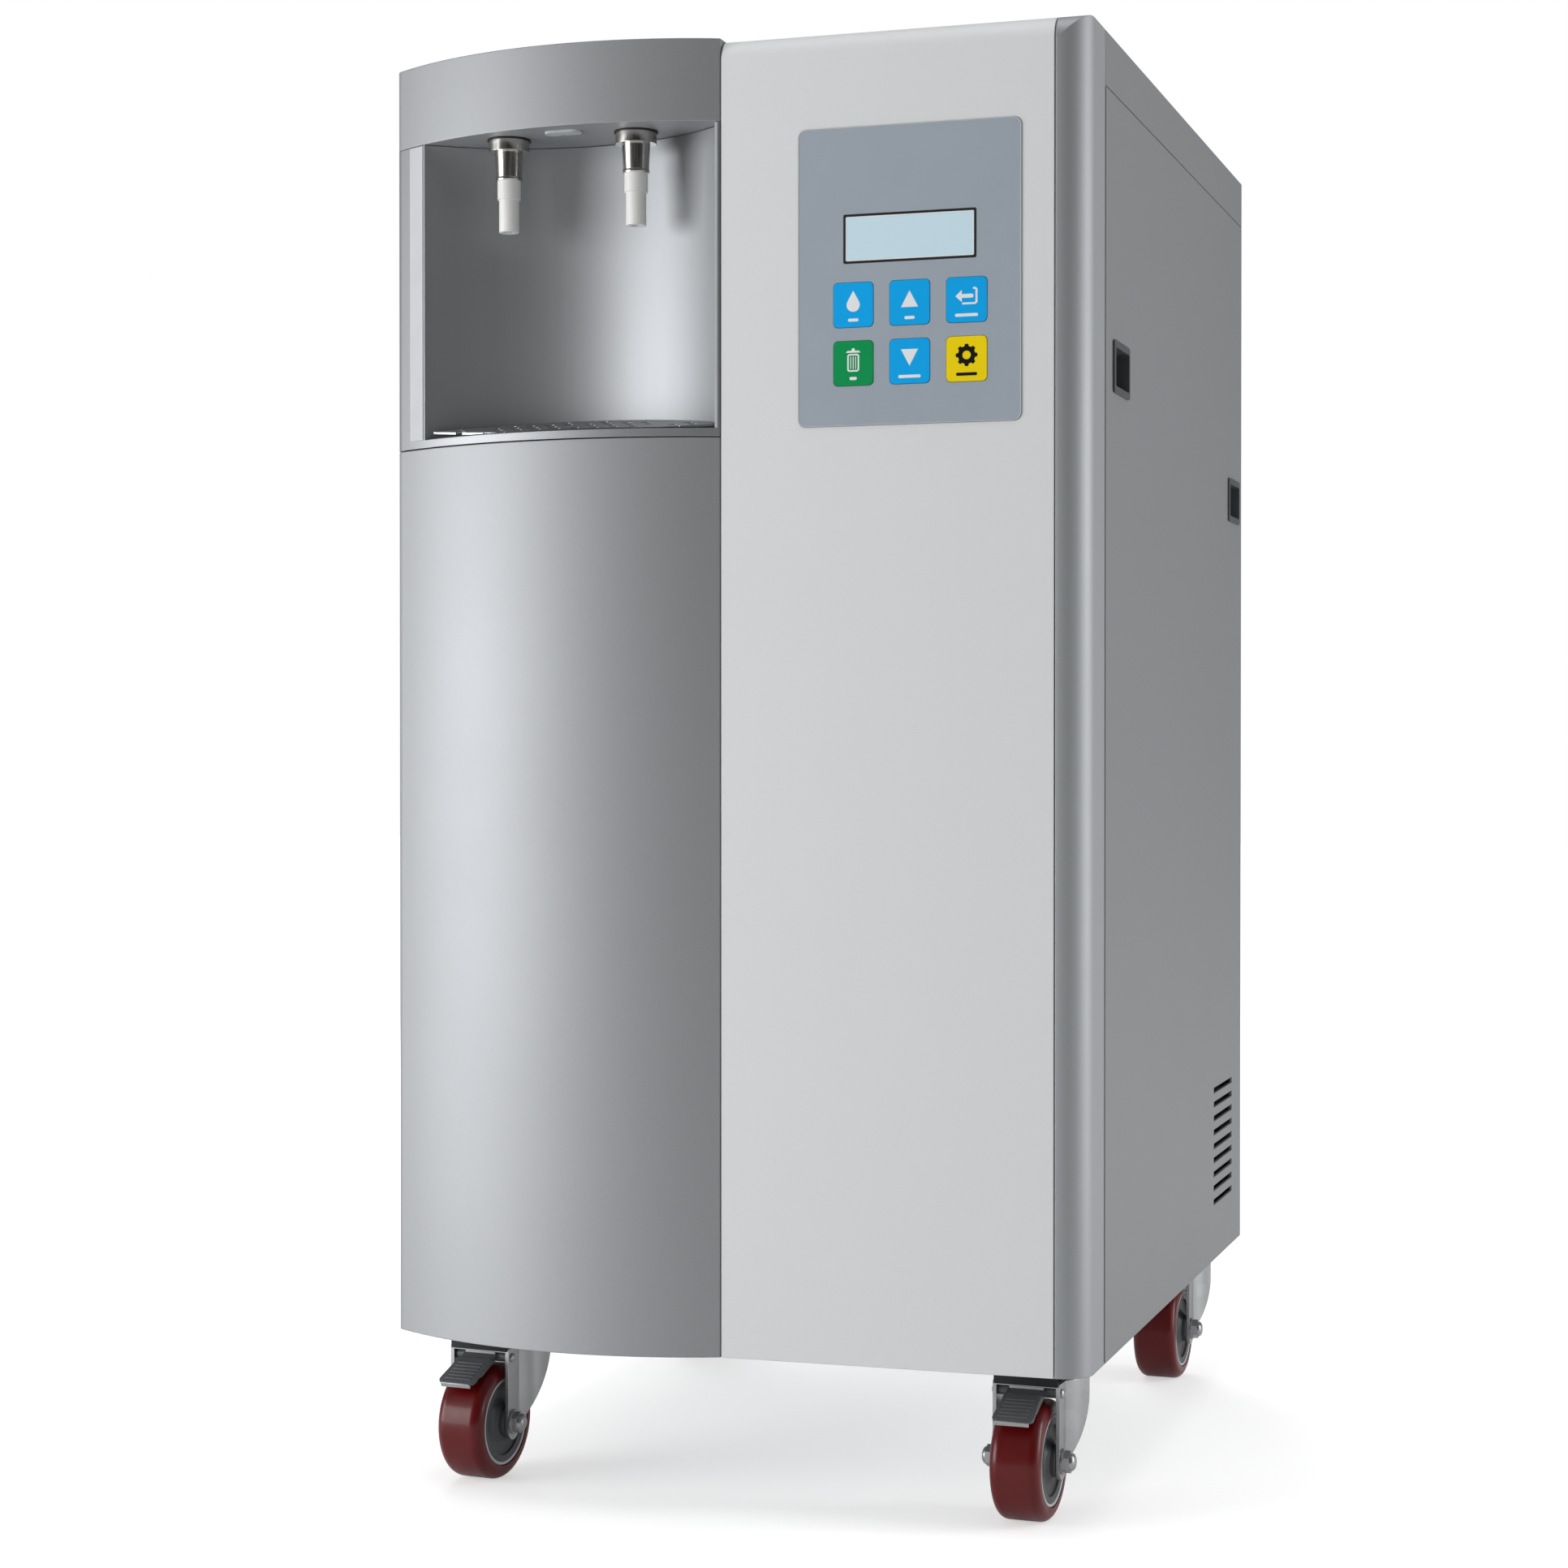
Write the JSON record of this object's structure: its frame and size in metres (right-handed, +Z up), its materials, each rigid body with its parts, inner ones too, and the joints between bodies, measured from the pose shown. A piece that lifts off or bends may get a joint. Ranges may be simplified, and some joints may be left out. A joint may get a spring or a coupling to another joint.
{
  "type": "laboratory water purification system",
  "caption": "Floor-standing water purifier: bowed silver front with a dispensing bay and nozzles, flat key panel, removable side panel, braked swivel casters.",
  "frame": {"origin": "on the floor under the middle of the object's box", "axes": "+X to the right seen from the front, +Y to the back, +Z up; the front faces -Y"},
  "size_m": [0.4614, 0.6156, 0.914],
  "materials": {
    "zinc_sheet": "galvanised sheet",
    "side_paint": "satin silver-grey powder coat",
    "silver_paint": "metallic silver paint",
    "white_paint": "fine-textured off-white paint",
    "satin_silver": "satin silver paint",
    "latch_plastic": "dark grey moulded plastic",
    "slider_plastic": "grey moulded plastic",
    "dark_plastic": "dark moulded plastic",
    "perforated_steel": "perforated stainless sheet",
    "brushed_steel": "turned stainless steel",
    "white_plastic": "white moulded plastic",
    "lamp_lens": "frosted lens",
    "overlay_film": "blue-grey membrane film",
    "black_rubber": "black gasket",
    "display_glass": "pale blue display window",
    "circuit_board": "solder-masked board",
    "key_blue": "blue key film",
    "key_green": "green key film",
    "key_yellow": "yellow key film",
    "black_plastic": "black moulded plastic",
    "tank_shell": "blue tank shell",
    "cartridge_plastic": "tinted cartridge",
    "aluminium_case": "folded aluminium",
    "clear_tube": "clear hose",
    "caster_zinc": "bright zinc plate",
    "red_tyre": "deep red polyurethane",
    "wheel_core": "dark grey nylon core",
    "pedal_plastic": "dark grey nylon pedal"
  },
  "bodies": {
    "cabinet": {"base_pan": "zinc_sheet", "chassis_frame": "zinc_sheet", "mid_shelf": "zinc_sheet", "left_side_panel": "side_paint", "rear_panel": "side_paint", "top_cover": "side_paint", "corner_post": "silver_paint", "front_panel": "white_paint", "bow_header": "silver_paint", "bow_lower_panel": "silver_paint", "bay_liner": "satin_silver", "drip_tray": "dark_plastic", "nozzle_barrels": "brushed_steel", "nozzle_tips": "white_plastic", "bay_lamp": "lamp_lens", "keypad_overlay": "overlay_film", "lcd_gasket": "black_rubber", "lcd_screen": "display_glass", "key_board": "circuit_board", "power_inlet": "black_plastic", "water_ports": "white_plastic", "pressure_tank": "tank_shell", "booster_pump": "dark_plastic", "membrane_housing": "white_plastic", "prefilter_canisters": "white_plastic", "polishing_cartridges": "cartridge_plastic", "uv_lamp_housing": "aluminium_case", "power_supply": "aluminium_case", "control_board": "circuit_board", "dispense_valves": "dark_plastic", "dispense_tubes": "clear_tube", "caster_plates": "caster_zinc", "caster_bolts": "caster_zinc"},
    "side_panel": {"right_side_panel": "side_paint", "latch_housings": "latch_plastic"},
    "front_latch": {"front_latch_slider": "slider_plastic"},
    "rear_latch": {"rear_latch_slider": "slider_plastic"},
    "drip_grate": {"drip_grate": "perforated_steel"},
    "key_drop": {"key_drop": "key_blue"},
    "key_up": {"key_up": "key_blue"},
    "key_enter": {"key_enter": "key_blue"},
    "key_cartridge": {"key_cartridge": "key_green"},
    "key_down": {"key_down": "key_blue"},
    "key_menu": {"key_menu": "key_yellow"},
    "front_left_caster": {"front_left_fork": "caster_zinc"},
    "front_left_wheel": {"front_left_tyre": "red_tyre", "front_left_core": "wheel_core"},
    "front_left_brake": {"front_left_pedal": "pedal_plastic"},
    "front_right_caster": {"front_right_fork": "caster_zinc"},
    "front_right_wheel": {"front_right_tyre": "red_tyre", "front_right_core": "wheel_core"},
    "front_right_brake": {"front_right_pedal": "pedal_plastic"},
    "rear_left_caster": {"rear_left_fork": "caster_zinc"},
    "rear_left_wheel": {"rear_left_tyre": "red_tyre", "rear_left_core": "wheel_core"},
    "rear_left_brake": {"rear_left_pedal": "pedal_plastic"},
    "rear_right_caster": {"rear_right_fork": "caster_zinc"},
    "rear_right_wheel": {"rear_right_tyre": "red_tyre", "rear_right_core": "wheel_core"},
    "rear_right_brake": {"rear_right_pedal": "pedal_plastic"}
  },
  "joints": [
    {"name": "side_panel_pull", "type": "slide", "parent": "cabinet", "child": "side_panel", "axis": [1, 0, 0], "range_m": [0, 0.25]},
    {"name": "front_latch_slide", "type": "slide", "parent": "side_panel", "child": "front_latch", "axis": [0, 1, 0], "range_m": [0, 0.01], "stiffness_N_per_m": 300},
    {"name": "rear_latch_slide", "type": "slide", "parent": "side_panel", "child": "rear_latch", "axis": [0, 1, 0], "range_m": [0, 0.01], "stiffness_N_per_m": 300},
    {"name": "drip_grate_lift", "type": "slide", "parent": "cabinet", "child": "drip_grate", "axis": [0, 0, 1], "range_m": [0, 0.06]},
    {"name": "key_drop_press", "type": "slide", "parent": "cabinet", "child": "key_drop", "axis": [0, 1, 0], "range_m": [0, 0.0005], "stiffness_N_per_m": 1500},
    {"name": "key_up_press", "type": "slide", "parent": "cabinet", "child": "key_up", "axis": [0, 1, 0], "range_m": [0, 0.0005], "stiffness_N_per_m": 1500},
    {"name": "key_enter_press", "type": "slide", "parent": "cabinet", "child": "key_enter", "axis": [0, 1, 0], "range_m": [0, 0.0005], "stiffness_N_per_m": 1500},
    {"name": "key_cartridge_press", "type": "slide", "parent": "cabinet", "child": "key_cartridge", "axis": [0, 1, 0], "range_m": [0, 0.0005], "stiffness_N_per_m": 1500},
    {"name": "key_down_press", "type": "slide", "parent": "cabinet", "child": "key_down", "axis": [0, 1, 0], "range_m": [0, 0.0005], "stiffness_N_per_m": 1500},
    {"name": "key_menu_press", "type": "slide", "parent": "cabinet", "child": "key_menu", "axis": [0, 1, 0], "range_m": [0, 0.0005], "stiffness_N_per_m": 1500},
    {"name": "front_left_swivel", "type": "hinge", "parent": "cabinet", "child": "front_left_caster", "pos_m": [-0.182, -0.2002, 0.086], "axis": [0, 0, 1], "continuous": true},
    {"name": "front_left_roll", "type": "hinge", "parent": "front_left_caster", "child": "front_left_wheel", "pos_m": [-0.18493, -0.22805, 0.0375], "axis": [0.9945, -0.1045, 0], "continuous": true},
    {"name": "front_left_brake_press", "type": "hinge", "parent": "front_left_caster", "child": "front_left_brake", "pos_m": [-0.18514, -0.23004, 0.0798], "axis": [0.9945, -0.1045, 0], "range_deg": [0, 7]},
    {"name": "front_right_swivel", "type": "hinge", "parent": "cabinet", "child": "front_right_caster", "pos_m": [0.182, -0.2002, 0.086], "axis": [0, 0, 1], "continuous": true},
    {"name": "front_right_roll", "type": "hinge", "parent": "front_right_caster", "child": "front_right_wheel", "pos_m": [0.18054, -0.22816, 0.0375], "axis": [0.9986, -0.0523, 0], "continuous": true},
    {"name": "front_right_brake_press", "type": "hinge", "parent": "front_right_caster", "child": "front_right_brake", "pos_m": [0.18043, -0.23016, 0.0798], "axis": [0.9986, -0.0523, 0], "range_deg": [0, 7]},
    {"name": "rear_left_swivel", "type": "hinge", "parent": "cabinet", "child": "rear_left_caster", "pos_m": [-0.182, 0.2498, 0.086], "axis": [0, 0, 1], "continuous": true},
    {"name": "rear_left_roll", "type": "hinge", "parent": "rear_left_caster", "child": "rear_left_wheel", "pos_m": [-0.18444, 0.22191, 0.0375], "axis": [0.9962, -0.0872, 0], "continuous": true},
    {"name": "rear_left_brake_press", "type": "hinge", "parent": "rear_left_caster", "child": "rear_left_brake", "pos_m": [-0.18462, 0.21991, 0.0798], "axis": [0.9962, -0.0872, 0], "range_deg": [0, 7]},
    {"name": "rear_right_swivel", "type": "hinge", "parent": "cabinet", "child": "rear_right_caster", "pos_m": [0.182, 0.2498, 0.086], "axis": [0, 0, 1], "continuous": true},
    {"name": "rear_right_roll", "type": "hinge", "parent": "rear_right_caster", "child": "rear_right_wheel", "pos_m": [0.18102, 0.22182, 0.0375], "axis": [0.9994, -0.0349, 0], "continuous": true},
    {"name": "rear_right_brake_press", "type": "hinge", "parent": "rear_right_caster", "child": "rear_right_brake", "pos_m": [0.18095, 0.21982, 0.0798], "axis": [0.9994, -0.0349, 0], "range_deg": [0, 7]}
  ]
}
